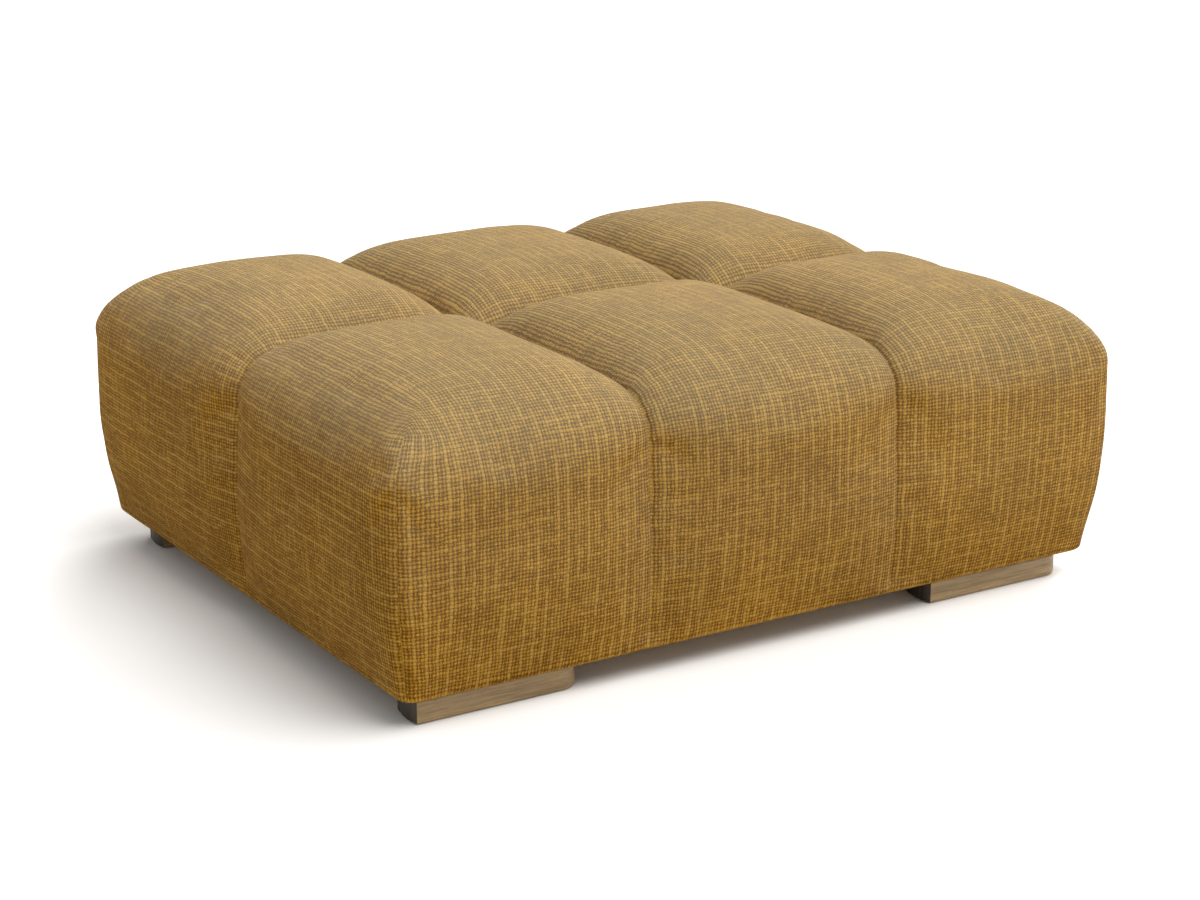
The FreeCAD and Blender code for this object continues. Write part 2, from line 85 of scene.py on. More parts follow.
class Wiring:
    """Short ways to add and join nodes in one shader tree."""

    def __init__(self, tree: bpy.types.NodeTree) -> None:
        """Keeps the tree that the nodes go into."""
        self.tree = tree

    def feed(self, socket: Socket, value: object) -> None:
        """Joins a socket to the input, or sets the input to a plain value.

        Args:
            socket: Input to feed.
            value: Another node's output, a number, a colour or a vector.
        """
        if isinstance(value, bpy.types.NodeSocket):
            self.tree.links.new(value, socket)
        elif socket.type == "RGBA" and len(value) == 3:
            socket.default_value = (*value, 1.0)
        else:
            socket.default_value = value

    def add(self, kind: str, options: dict | None = None, **inputs: object) -> bpy.types.Node:
        """Adds a node.

        Args:
            kind: Node type after "ShaderNode".
            options: Node settings by name.
            inputs: Values or sockets for its inputs; an underscore stands for a space.

        Returns:
            The new node.
        """
        node = self.tree.nodes.new("ShaderNode" + kind)
        for name, value in (options or {}).items():
            setattr(node, name, value)
        for name, value in inputs.items():
            self.feed(node.inputs[name.replace("_", " ")], value)
        return node

    def math(self, operation: str, a: object, b: object = 0.0, c: object = 0.0) -> Socket:
        """Works out one number from up to three and returns its socket."""
        node = self.add("Math", {"operation": operation})
        for socket, value in zip(node.inputs, (a, b, c)):
            self.feed(socket, value)
        return node.outputs[0]

    def times(self, a: object, b: object) -> Socket:
        """Multiplies two numbers and returns the product's socket."""
        return self.math("MULTIPLY", a, b)

    def plus(self, a: object, b: object) -> Socket:
        """Adds two numbers and returns the sum's socket."""
        return self.math("ADD", a, b)

    def smooth(self, value: object, low: float, high: float, start: float = 0.0, end: float = 1.0) -> Socket:
        """Eases a value from start, at and below low, to end, at and above high; returns its socket."""
        ends = {"From_Min": low, "From_Max": high, "To_Min": start, "To_Max": end}
        node = self.add("MapRange", {"interpolation_type": "SMOOTHSTEP"}, Value=value, **ends)
        return node.outputs["Result"]

    def blend(self, share: object, a: object, b: object) -> Socket:
        """Blends two numbers by a share from 0 to 1 and returns the result's socket."""
        node = self.add("Mix", {"data_type": "FLOAT"})
        for place, value in ((0, share), (2, a), (3, b)):
            self.feed(node.inputs[place], value)
        return node.outputs[0]

    def tint(self, share: object, a: object, b: object, how: str = "MIX") -> Socket:
        """Blends two colours.

        Args:
            share: How much of the second colour, from 0 to 1.
            a: First colour.
            b: Second colour.
            how: Blender's name of the way that they mix.

        Returns:
            The blended colour's socket.
        """
        node = self.add("Mix", {"data_type": "RGBA", "blend_type": how})
        for place, value in ((0, share), (6, a), (7, b)):
            self.feed(node.inputs[place], value)
        return node.outputs[2]

    def parts(self, vector: Socket) -> tuple[Socket, Socket, Socket]:
        """Splits a vector into its three numbers."""
        return tuple(self.add("SeparateXYZ", Vector=vector).outputs)

    def join(self, x: object = 0.0, y: object = 0.0, z: object = 0.0) -> Socket:
        """Makes a vector from three numbers and returns its socket."""
        return self.add("CombineXYZ", X=x, Y=y, Z=z).outputs[0]

    def speckle(self, place: Socket, scale: object, detail: float = 2.0, roughness: float = 0.5) -> Socket:
        """Adds soft random noise and returns its number's socket."""
        return self.add("TexNoise", Vector=place, Scale=scale, Detail=detail, Roughness=roughness).outputs[0]

    def drift(self, place: Socket, scale: float) -> tuple[Socket, Socket, Socket]:
        """Adds soft random noise and returns the three numbers of its colour."""
        node = self.add("TexNoise", Vector=place, Scale=scale, Detail=2.0, Roughness=0.5)
        return self.parts(node.outputs[1])

    def relief(self, height: Socket, distance: float, strength: float = 1.0) -> Socket:
        """Turns a height into a bumped normal and returns its socket."""
        return self.add("Bump", Height=height, Distance=distance, Strength=strength).outputs[0]


def shared_group(name: str, inputs: dict[str, object], outputs: tuple[str, str]) -> tuple:
    """Starts a node group that several materials use.

    Args:
        name: The group's name.
        inputs: Default of each input by name; three numbers make a colour, None a vector.
        outputs: Names of its outputs; "Color" is a colour, any other a number.

    Returns:
        The group's wiring, its input sockets by name and its output node.
    """
    group = bpy.data.node_groups.new(name, "ShaderNodeTree")
    kinds = {tuple: "NodeSocketColor", float: "NodeSocketFloat", type(None): "NodeSocketVector"}
    for label, default in inputs.items():
        socket = group.interface.new_socket(label, in_out="INPUT", socket_type=kinds[type(default)])
        if default is not None:
            socket.default_value = (*default, 1.0) if isinstance(default, tuple) else default
    for label in outputs:
        kind = kinds[tuple if label == "Color" else float]
        group.interface.new_socket(label, in_out="OUTPUT", socket_type=kind)
    return Wiring(group), group.nodes.new("NodeGroupInput").outputs, group.nodes.new("NodeGroupOutput")


@cache
def weave_group() -> bpy.types.NodeTree:
    """Builds the chunky plain weave: slubby yarns both ways, open gaps at the crossings, fuzzy hair.

    Returns:
        The node group, with the cloth's flat place in metres as its input.
    """
    colours = {"Gap": (0.1, 0.05, 0.01), "Yarn": (0.3, 0.17, 0.04), "Slub": (0.5, 0.3, 0.1)}
    inputs = {"Place": None, "Pitch": 0.005, **colours}
    w, given, result = shared_group("slub_weave", inputs, ("Color", "Height"))
    place = given["Place"]
    u, v, _ = w.parts(place)
    drift = w.drift(place, 8.0)
    wander = w.drift(place, 55.0)
    counts = []
    for along, slow, quick in ((u, drift[0], wander[0]), (v, drift[1], wander[1])):
        sway = w.plus(w.times(slow, 1.3), w.times(quick, 0.8))
        counts.append(w.plus(w.math("DIVIDE", along, given["Pitch"]), sway))
    warp, weft = counts
    warp_number, weft_number = (w.math("FLOOR", count) for count in counts)
    slub_warp = w.speckle(w.join(w.times(warp_number, 5.37), w.times(v, 14.0)), 1.0)
    slub_weft = w.speckle(w.join(w.times(u, 16.0), w.times(weft_number, 7.91)), 1.0)
    profiles = []
    weights = []
    yarns = ((warp, warp_number, slub_warp, 0.13), (weft, weft_number, slub_weft, 0.07))
    for count, number, slub, beat in yarns:
        third = w.math("COSINE", w.times(number, 2 * math.pi / 3))
        weight = w.math("MULTIPLY_ADD", third, beat, slub)
        across = w.math("SINE", w.times(w.math("SUBTRACT", count, number), math.pi))
        profiles.append(w.math("POWER", across, w.smooth(weight, 0.3, 0.7, 1.9, 0.45)))
        weights.append(weight)
    corner = w.join(warp_number, weft_number)
    crossing = w.add("TexWhiteNoise", {"noise_dimensions": "2D"}, Vector=corner).outputs[0]
    over = w.math("PINGPONG", w.plus(warp_number, weft_number), 1.0)
    under = w.math("SUBTRACT", 1.0, over)
    rises = []
    for mine, other, top in ((*profiles, over), (*reversed(profiles), under)):
        arch = w.math("MULTIPLY_ADD", other, 0.45, 0.55)
        rises.append(w.times(mine, w.blend(top, 0.5, arch)))
    hair = w.speckle(place, 620.0, 3.0, 0.65)
    uneven = w.times(w.math("MAXIMUM", *rises), w.smooth(crossing, 0.0, 1.0, 0.78, 1.18))
    height = w.math("MULTIPLY_ADD", w.math("SUBTRACT", hair, 0.5), 0.8, uneven)
    pale_warp = w.times(w.smooth(weights[0], 0.5, 0.72, 0.0, 0.5), rises[0])
    pale_weft = w.times(w.smooth(weights[1], 0.52, 0.72, 0.0, 0.32), rises[1])
    pale = w.math("MAXIMUM", pale_warp, pale_weft)
    knots = w.smooth(height, 0.72, 1.25, 0.0, 0.6)
    cloth = w.tint(w.smooth(height, 0.2, 0.8), given["Gap"], given["Yarn"])
    cloth = w.tint(w.math("MAXIMUM", pale, knots), cloth, given["Slub"])
    mottle = w.smooth(w.speckle(place, 4.5, 3.0), 0.25, 0.75, 0.9, 1.1)
    fuzz = w.times(mottle, w.smooth(hair, 0.3, 0.7, 0.78, 1.2))
    cloth = w.tint(1.0, cloth, w.join(fuzz, fuzz, fuzz), "MULTIPLY")
    w.feed(result.inputs["Color"], cloth)
    w.feed(result.inputs["Height"], w.math("MULTIPLY_ADD", pale, 0.35, height))
    return w.tree


@cache
def grain_group() -> bpy.types.NodeTree:
    """Builds wood grain that runs along the first coordinate: rings, fine streaks and open pores.

    Returns:
        The node group, with a place in metres as its input.
    """
    looks = {"Dark": (0.1, 0.06, 0.03), "Pale": (0.3, 0.2, 0.1), "Rings": 60.0, "Pores": 0.5}
    w, given, result = shared_group("wood_grain", {"Place": None, **looks}, ("Color", "Height"))
    x, y, z = w.parts(given["Place"])
    bend = w.speckle(w.join(w.times(x, 0.16), y, z), 14.0, 3.0)
    across = w.plus(w.plus(y, w.times(z, 0.7)), w.times(bend, 0.05))
    ring = w.smooth(w.math("SINE", w.times(across, w.times(given["Rings"], 2 * math.pi))), -1.0, 1.0)
    streak = w.speckle(w.join(w.times(x, 0.05), y, z), 420.0, 3.0, 0.6)
    pore = w.speckle(w.join(w.times(x, 0.09), y, z), 900.0, 1.0)
    open_pore = w.times(w.smooth(pore, 0.6, 0.72), given["Pores"])
    share = w.plus(w.times(ring, 0.35), w.times(w.smooth(streak, 0.3, 0.7), 0.65))
    wood = w.tint(open_pore, w.tint(share, given["Dark"], given["Pale"]), given["Dark"])
    w.feed(result.inputs["Color"], wood)
    w.feed(result.inputs["Height"], w.math("SUBTRACT", w.times(streak, 0.5), open_pore))
    return w.tree


@cache
def scuff_group() -> bpy.types.NodeTree:
    """Builds fine scratches and handling marks for hard surfaces.

    Returns:
        The node group, whose Marks output is 0 where the surface is clean and 1 where it is worn.
    """
    inputs = {"Place": None, "Amount": 0.5, "Scale": 60.0}
    w, given, result = shared_group("scuffs", inputs, ("Marks", "Height"))
    patch = w.speckle(given["Place"], 22.0, 4.0, 0.6)
    stretch = {"Rotation": (0.4, 0.7, 0.5), "Scale": (1.0, 0.06, 1.0)}
    turned = w.add("Mapping", Vector=given["Place"], **stretch).outputs[0]
    lines = w.speckle(turned, w.times(given["Scale"], 12.0))
    marks = w.times(w.smooth(lines, 0.58, 0.7), w.smooth(patch, 0.4, 0.65))
    w.feed(result.inputs["Marks"], w.times(marks, given["Amount"]))
    w.feed(result.inputs["Height"], w.math("MULTIPLY_ADD", marks, -0.5, w.times(patch, 0.3)))
    return w.tree


# ---------------------------------------------------------------- finishes


class Surface(Wiring):
    """One material being made: its nodes, its shader and the place that its pattern follows."""

    def __init__(self, name: str, along: Axis = Axis.X, uv_map: str = "") -> None:
        """Starts a material.

        Args:
            name: The material's name.
            along: Direction that the pattern's first coordinate follows.
            uv_map: UV map to follow instead of the place in the frame.
        """
        self.material = bpy.data.materials.new(name)
        self.material.use_nodes = True
        self.material.node_tree.nodes.clear()
        super().__init__(self.material.node_tree)
        self.shader = self.add("BsdfPrincipled")
        self.add("OutputMaterial", Surface=self.shader.outputs[0])
        if uv_map:
            self.place = self.add("UVMap", {"uv_map": uv_map}).outputs[0]
        else:
            numbers = self.own("Object")
            self.place = self.join(*(numbers[(along.value + step) % 3] for step in range(3)))

    def own(self, kind: str) -> tuple[Socket, Socket, Socket]:
        """Gives the three numbers of the object's own place ("Object") or outward direction ("Normal")."""
        return self.parts(self.add("TexCoord").outputs[kind])

    def group(self, maker: Callable[[], bpy.types.NodeTree], **inputs: object) -> bpy.types.Node:
        """Adds a shared group, built when first asked for, at the pattern's place; returns its node."""
        return self.add("Group", {"node_tree": maker()}, Place=self.place, **inputs)

    def set(self, **inputs: object) -> None:
        """Sets or feeds the shader's inputs; an underscore stands for a space."""
        for name, value in inputs.items():
            self.feed(self.shader.inputs[name.replace("_", " ")], value)


@dataclass(frozen=True)
class SlubCloth:
    """The mustard slub weave of the cover."""

    pitch: float = 0.0047
    gap: Colour = (0.125, 0.050, 0.002)
    yarn: Colour = (0.335, 0.157, 0.010)
    slub: Colour = (0.53, 0.325, 0.068)
    # Pale colour added as painted sheen on up-facing cloth, standing in for the light's sheen on the top.
    fading: Colour = (0.088, 0.110, 0.088)
    relief: float = 0.0024

    def material(self) -> bpy.types.Material:
        """Makes the material, which follows the cover's flat cloth map and has a painted sheen: a pale veil
        added to the colour where it faces up, and a little where it faces the front.
        """
        w = Surface("cover_slub_weave", uv_map=WEAVE_MAP)
        cloth = w.group(weave_group, Pitch=self.pitch, Gap=self.gap, Yarn=self.yarn, Slub=self.slub)
        normal = w.relief(cloth.outputs["Height"], self.relief, 0.8)
        # Painted sheen: the pale colour is added most on up-facing cloth, less on front-facing cloth and not
        # at all on the rear, in place of the light's sheen.
        _, across, up = w.own("Normal")
        share = w.smooth(w.math("MULTIPLY_ADD", across, -0.3, up), -0.1, 1.05)
        colour = w.tint(share, cloth.outputs["Color"], self.fading, "ADD")
        w.set(Base_Color=colour, Roughness=0.97, Normal=normal, Specular_IOR_Level=0.05)
        w.set(Sheen_Weight=0.12, Sheen_Roughness=0.22, Sheen_Tint=(1.0, 0.95, 0.82))
        return w.material


@dataclass(frozen=True)
class Timber:
    """Solid wood with its grain along one direction."""

    name: str
    dark: Colour
    pale: Colour
    along: Axis = Axis.X
    rings: float = 60.0
    pores: float = 0.6
    roughness: float = 0.5
    coat: float = 0.15

    def material(self) -> bpy.types.Material:
        """Makes the material."""
        w = Surface(self.name, self.along)
        wood = w.group(grain_group, Dark=self.dark, Pale=self.pale, Rings=self.rings, Pores=self.pores)
        marks = w.group(scuff_group, Amount=0.5)
        rough = w.blend(marks.outputs["Marks"], self.roughness, min(self.roughness + 0.3, 1.0))
        normal = w.relief(wood.outputs["Height"], 0.0003, 0.7)
        w.set(Base_Color=wood.outputs["Color"], Roughness=rough, Normal=normal)
        w.set(Coat_Weight=self.coat, Coat_Roughness=0.35)
        return w.material


@dataclass(frozen=True)
class Plywood:
    """Birch plywood: a plain rotary-cut face, with the plies showing at the edges."""

    name: str
    through: Axis
    face: float
    thickness: float
    along: Axis
    plies: int = 8
    dark: Colour = (0.40, 0.26, 0.13)
    pale: Colour = (0.66, 0.50, 0.31)
    glue: Colour = (0.20, 0.12, 0.06)

    def material(self) -> bpy.types.Material:
        """Makes the material."""
        w = Surface(self.name, self.along)
        wood = w.group(grain_group, Dark=self.dark, Pale=self.pale, Rings=9.0, Pores=0.25)
        depth = w.math("SUBTRACT", w.own("Object")[self.through.value], self.face)
        turn = w.times(depth, math.pi * self.plies / self.thickness)
        ply = w.smooth(w.math("COSINE", turn), -0.7, 0.2)
        colour = w.tint(w.blend(ply, 0.6, 0.0), wood.outputs["Color"], self.glue)
        normal = w.relief(w.math("MULTIPLY_ADD", wood.outputs["Height"], 0.4, ply), 0.0002, 0.6)
        w.set(Base_Color=colour, Roughness=0.68, Normal=normal)
        return w.material


@dataclass(frozen=True)
class Metal:
    """Metal, bare or painted, with fine scratches and mottled roughness."""

    name: str
    colour: Colour
    worn: Colour
    metallic: float = 1.0
    roughness: float = 0.35
    wear: float = 0.5
    coat: float = 0.0

    def material(self) -> bpy.types.Material:
        """Makes the material."""
        w = Surface(self.name)
        marks = w.group(scuff_group, Amount=self.wear, Scale=90.0)
        bloom = w.smooth(w.speckle(w.place, 120.0, 4.0), 0.3, 0.7, -0.06, 0.06)
        rough = w.plus(w.math("MULTIPLY_ADD", marks.outputs["Marks"], 0.25, self.roughness), bloom)
        colour = w.tint(marks.outputs["Marks"], self.colour, self.worn)
        normal = w.relief(marks.outputs["Height"], 0.0001, 0.4)
        w.set(Base_Color=colour, Metallic=self.metallic, Roughness=rough, Normal=normal)
        w.set(Coat_Weight=self.coat, Coat_Roughness=0.2)
        return w.material


@dataclass(frozen=True)
class Moulded:
    """Rubber or moulded plastic with a fine spark-eroded texture."""

    name: str
    colour: Colour
    scuffed: Colour
    roughness: float = 0.6

    def material(self) -> bpy.types.Material:
        """Makes the material."""
        w = Surface(self.name)
        marks = w.group(scuff_group, Amount=0.7, Scale=50.0).outputs["Marks"]
        rough = w.math("MULTIPLY_ADD", marks, 0.2, self.roughness)
        normal = w.relief(w.speckle(w.place, 1400.0), 0.00015, 0.5)
        w.set(Base_Color=w.tint(marks, self.colour, self.scuffed), Roughness=rough, Normal=normal)
        return w.material


@dataclass(frozen=True)
class Felt:
    """Needle felt: matted fibres in several greys."""

    dark: Colour = (0.055, 0.052, 0.048)
    pale: Colour = (0.16, 0.15, 0.14)

    def material(self) -> bpy.types.Material:
        """Makes the material."""
        w = Surface("needle_felt")
        matted = w.speckle(w.place, 260.0, 5.0, 0.7)
        stretch = {"Rotation": (0.0, 0.0, 0.6), "Scale": (1.0, 0.12, 1.0)}
        fibres = w.speckle(w.add("Mapping", Vector=w.place, **stretch).outputs[0], 1300.0, 3.0)
        both = w.math("MULTIPLY_ADD", fibres, 0.5, w.times(matted, 0.5))
        w.set(Base_Color=w.tint(w.smooth(both, 0.38, 0.62), self.dark, self.pale), Roughness=0.95)
        w.set(Normal=w.relief(both, 0.0012, 0.8), Specular_IOR_Level=0.1)
        w.set(Sheen_Weight=0.3, Sheen_Roughness=0.6)
        return w.material


@dataclass(frozen=True)
class DustCloth:
    """Non-woven dust cloth, spot-bonded in a fine diamond pattern."""

    spot: float = 0.0032
    dark: Colour = (0.016, 0.015, 0.014)
    pale: Colour = (0.05, 0.048, 0.045)

    def material(self) -> bpy.types.Material:
        """Makes the material."""
        w = Surface("dust_cloth")
        x, y, _ = w.parts(w.place)
        ways = (w.plus(x, y), w.math("SUBTRACT", x, y))
        waves = [w.math("SINE", w.times(way, math.pi / self.spot)) for way in ways]
        bonded = w.smooth(w.times(*waves), 0.3, 0.75)
        web = w.speckle(w.place, 700.0, 4.0, 0.7)
        loft = w.math("SUBTRACT", w.math("MULTIPLY_ADD", web, 0.6, 0.4), bonded)
        w.set(Base_Color=w.tint(w.smooth(loft, -0.3, 0.8), self.dark, self.pale), Roughness=0.85)
        w.set(Normal=w.relief(loft, 0.0004, 0.8), Sheen_Weight=0.2, Sheen_Roughness=0.5)
        return w.material


# ---------------------------------------------------------------- mesh helpers


def place_object(name: str, data: bpy.types.ID) -> bpy.types.Object:
    """Puts a mesh, a light or a camera into the scene and returns its object."""
    item = bpy.data.objects.new(name, data)
    bpy.context.scene.collection.objects.link(item)
    return item


def as_mesh(name: str, form: bmesh.types.BMesh) -> bpy.types.Mesh:
    """Turns a form into a mesh, frees the form and returns the mesh."""
    mesh = bpy.data.meshes.new(name)
    form.to_mesh(mesh)
    form.free()
    return mesh


def add_piece(
    name: str, mesh: bpy.types.Mesh, material: bpy.types.Material, body: str
) -> bpy.types.Object:
    """Puts a finished mesh into the scene as a piece of the object.

    Args:
        name: The piece's name.
        mesh: Its mesh, in the frame's own place.
        material: Its first material.
        body: CAD body that it moves with.

    Returns:
        The new object.
    """
    piece = place_object(name, mesh)
    mesh.materials.append(material)
    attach(piece, body)
    LOG.info("%s: %d faces, rides on %s", name, len(mesh.polygons), body)
    return piece


def shade_smooth(mesh: bpy.types.Mesh, smooth: bool = True) -> None:
    """Makes all of a mesh's faces shade smooth, or flat."""
    mesh.polygons.foreach_set("use_smooth", [smooth] * len(mesh.polygons))


def with_modifier(piece: bpy.types.Object, kind: str, **settings: object) -> None:
    """Adds a modifier, applies it and leaves the result as the piece's own mesh.

    Args:
        piece: Object to change.
        kind: Blender's name of the modifier.
        settings: The modifier's settings by name.
    """
    modifier = piece.modifiers.new(kind.lower(), kind)
    for name, value in settings.items():
        setattr(modifier, name, value)
    graph = bpy.context.evaluated_depsgraph_get()
    shaped = piece.evaluated_get(graph)
    mesh = bpy.data.meshes.new_from_object(shaped, preserve_all_data_layers=True, depsgraph=graph)
    piece.modifiers.clear()
    old = piece.data
    piece.data = mesh
    bpy.data.meshes.remove(old)


def eased_steps(start: float, end: float, count: int, gather: float) -> np.ndarray:
    """Places from start to end that crowd together towards both ends.

    Args:
        start: First place.
        end: Last place.
        count: Number of gaps.
        gather: 0 for even gaps, towards 1 for finer ones at the ends.

    Returns:
        The places, both ends included.
    """
    t = np.linspace(0.0, 1.0, count + 1)
    eased = (1 - gather) * t + gather * (0.5 - 0.5 * np.cos(math.pi * t))
    return start + (end - start) * eased


def ramp(value: np.ndarray, low: float, high: float) -> np.ndarray:
    """Rises smoothly from 0 to 1 as the value goes from low to high."""
    t = np.clip((value - low) / (high - low), 0.0, 1.0)
    return t * t * (3 - 2 * t)


# ---------------------------------------------------------------- cover


@dataclass
class Cover:
    """The quilted cover over its foam: six crowned cells, sewn channels, corner seams and a rolled hem.

    The cloth is one cross-shaped cut: the top runs down over all four sides, and the sides are
    sewn to each other at the corners. Its mesh is the surface of a box, bent to the padded form.
    """

    edge_round: float = 0.079
    seam_corner_round: float = 0.020
    corner_blend: float = 1.3
    hem_tuck: float = 0.017
    hem_round: float = 0.010
    bulge_height: float = 0.190
    room_along: float = 0.020
    room_across: float = 0.011
    plane_drop: float = 0.0055
    crown: float = 0.0215
    crown_power: float = 3.5
    channel_half_width: float = 0.098
    channel_depth_top: float = 0.044
    channel_depth_edge: float = 0.024
    channel_depth_hem: float = 0.005
    channel_shallowing: float = 0.38
    seam_depth: float = 0.0042
    seam_half_width: float = 0.0045
    unevenness: float = 0.0014
    pillow_power: float = 2.2
    side_power: float = 1.3
    lumps_per_metre: tuple[float, float] = (11.0, 29.0)
    hem_zone: float = 0.03
    under_shares: tuple[float, ...] = (0.12, 0.45, 1.0)
    under_lengths: tuple[float, ...] = (0.004, 0.014, 0.03)
    channel_hold: float = 0.004
    seam_hold: float = 0.006
    line_gather: float = 0.72
    cell_steps_long: int = 36
    cell_steps_deep: int = 40
    side_rows: int = 31
    roll_rows: int = 4
    cloth_thickness: float = 0.002
    pressure: float = 4.0
    swell_limit: float = 0.005
    swell_frames: int = 16
    closing_gap: float = 0.0003

    def __post_init__(self) -> None:
        """Takes the overall places from the frame."""
        low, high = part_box("cover")
        self.half_x = (high.x - low.x) / 2 - self.room_along
        self.half_y = (high.y - low.y) / 2 - self.room_across
        self.top = high.z - self.plane_drop
        self.hem = low.z
        self.channels_x = (-(high.x - low.x) / 6, (high.x - low.x) / 6)

    def boards(self) -> tuple[Vector, Vector]:
        """Finds the outer corners of the hood's wooden frame, which fills the upholstery."""
        corners = [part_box(f"hood_{side}_board") for side in ("front", "rear", "left", "right", "top")]
        low = Vector(min(c[0][axis] for c in corners) for axis in range(3))
        high = Vector(max(c[1][axis] for c in corners) for axis in range(3))
        return low, high

    def inner_hem(self) -> tuple[float, float, float, float]:
        """Finds where the hem ends under the boards: left, right, front and rear."""
        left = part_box("hood_left_board")[1].x
        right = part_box("hood_right_board")[0].x
        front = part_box("hood_front_board")[1].y
        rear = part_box("hood_rear_board")[0].y
        return left, right, front, rear

    def lines(self) -> tuple[np.ndarray, np.ndarray]:
        """Places of the mesh lines along and across, finest at the channels and corner seams."""
        stops = (-self.half_x, *self.channels_x, self.half_x)
        gather = self.line_gather
        spans = [eased_steps(a, b, self.cell_steps_long, gather)[:-1] for a, b in zip(stops, stops[1:])]
        ends = ((-self.half_y, 0), (0, self.half_y))
        across = [eased_steps(a, b, self.cell_steps_deep, gather) for a, b in ends]
        return np.append(np.concatenate(spans), self.half_x), np.append(across[0][:-1], across[1])

    def rows(self) -> dict[str, np.ndarray]:
        """Rows of the sides, from the top edge down round the hem to the boards.

        Returns:
            Height on the box, extra inset, height after the roll and share of the way to the boards.
        """
        low = self.hem + self.hem_round
        height = np.linspace(self.top, low, self.side_rows + 1)
        turn = np.linspace(0, math.pi / 2, self.roll_rows + 1)[1:]
        under = np.array(self.under_shares)
        roll_inset = self.hem_round * (1 - np.cos(turn))
        flat = np.full(len(under), self.hem_round)
        sunk = np.concatenate([height, low - self.hem_round * np.sin(turn), np.full(len(under), self.hem)])
        return {
            "box": np.concatenate([height, np.full(len(turn) + len(under), low)]),
            "inset": np.concatenate([np.zeros(len(height)), roll_inset, flat]),
            "height": sunk,
            "under": np.concatenate([np.zeros(len(height) + len(turn)), under]),
        }

    def bend(
        self, x0: np.ndarray, y0: np.ndarray, row: dict[str, np.ndarray]
    ) -> tuple[np.ndarray, np.ndarray]:
        """Bends points of the plain box to the padded form, before the cells are shaped.

        Args:
            x0: Places along the box.
            y0: Places across the box.
            row: Row values of each point.

        Returns:
            The bent points and the outward direction at each.
        """
        r = self.edge_round
        fall = np.clip((row["box"] - self.hem - self.hem_round) / (self.bulge_height - self.hem), 0, 1)
        tuck = self.hem_tuck * (1 - np.sin(fall * math.pi / 2))
        half = (self.half_x, self.half_y)
        size = (np.abs(x0), np.abs(y0))
        past = [np.clip((size[way] - half[way] + r) / r, 0, 1) for way in (0, 1)]
        far = np.maximum(past[0], past[1])
        drop = np.clip((row["box"] - self.top + r) / r, 0, 1)
        rise = np.where(drop > 0, math.pi / 4 * (drop + 1 - far), 0.0)
        inset = r * (1 - np.cos(rise)) + tuck + row["inset"]
        ball = r * np.cos(rise)
        seamed = self.seam_corner_round - row["inset"] / 2
        corner = seamed + (ball - seamed) * ramp(rise, 0.0, self.corner_blend)
        share = np.where(far > 0, np.minimum(past[0], past[1]) / np.maximum(far, 1e-6), 0.0)
        level = [half[way] - inset for way in (0, 1)]
        straight = []
        turn = []
        for way in (0, 1):
            length = level[way] - corner - (half[way] - r)
            travel = share * (length + corner * math.pi / 4)
            turn.append(np.clip((travel - length) / np.maximum(corner, 1e-6), 0, math.pi / 4))
            straight.append(np.where(past[way] > 0, half[way] - r + np.minimum(travel, length), size[way]))
        on_end = past[0] >= past[1]
        spots = []
        out = []
        for way, plain in enumerate((x0, y0)):
            leads = on_end if way == 0 else ~on_end
            over = level[way] - corner + corner * np.cos(turn[1 - way])
            along = straight[way] + corner * np.sin(turn[way])
            bent = np.where(leads, over, along)
            spots.append(np.sign(plain) * np.where(far <= 0, size[way], bent))
            face = np.where(leads, np.cos(turn[1 - way]), np.sin(turn[way]))
            out.append(np.sign(plain) * face * np.cos(rise))
        x, y = spots
        z = np.where(drop > 0, self.top - r + r * np.sin(rise), row["height"])
        out = np.stack([*out, np.sin(rise)], axis=1)
        left, right, front, rear = self.inner_hem()
        t = row["under"]
        flat_x = left + (right - left) * (x0 + self.half_x) / (2 * self.half_x)
        flat_y = front + (rear - front) * (y0 + self.half_y) / (2 * self.half_y)
        points = np.stack([x * (1 - t) + flat_x * t, y * (1 - t) + flat_y * t, z], axis=1)
        return points, out

    def shape_cells(self, points: np.ndarray, out: np.ndarray, x0: np.ndarray, y0: np.ndarray) -> np.ndarray:
        """Crowns the six cells, pulls in the channels between them and pinches the corner seams.

        Args:
            points: The bent points.
            out: Outward direction at each point.
            x0: Places along the box.
            y0: Places across the box.

        Returns:
            The shaped points.
        """
        r = self.edge_round
        pillows = []
        for near in (self.to_channel(x0), np.abs(y0)):
            t = 1 - np.clip(near / self.channel_half_width, 0, 1)
            pillows.append(np.sqrt(np.maximum(1 - t**self.pillow_power, 0.0)))
        side = np.clip((points[:, 2] - self.hem) / (self.top - r - self.hem), 0, 1)
        deepening = self.channel_depth_edge - self.channel_depth_hem
        on_side = self.channel_depth_hem + deepening * side**self.side_power
        outer_x = ramp(np.abs(x0), 0.6 * self.half_x, self.half_x - r * 0.3)
        outer_y = ramp(np.abs(y0), 0.5 * self.half_y, self.half_y - r * 0.3)
        deep = self.channel_depth_top * (1 - self.channel_shallowing * np.maximum(outer_x, outer_y))
        up = np.clip(out[:, 2], 0, 1)
        depth = on_side + (deep - on_side) * up
        sink = depth * (1 - pillows[0] * pillows[1])
        cell_x = self.channels_x[1]
        mid_x = np.where(np.abs(x0) < cell_x, 0.0, (self.half_x - r * 0.6 + cell_x) / 2)
        mid_y = (self.half_y - r * 0.6) / 2
        from_x = np.where(np.abs(x0) < cell_x, np.abs(x0) / cell_x, (np.abs(x0) - mid_x) / (mid_x - cell_x))
        from_y = (np.abs(y0) - mid_y) / mid_y
        dome = [np.clip(1 - np.abs(part) ** self.crown_power, 0, 1) for part in (from_x, from_y)]
        crown = self.crown * (dome[0] * dome[1]) * up
        pinch = np.exp(-((self.to_seam(x0, y0) / self.seam_half_width) ** 2))
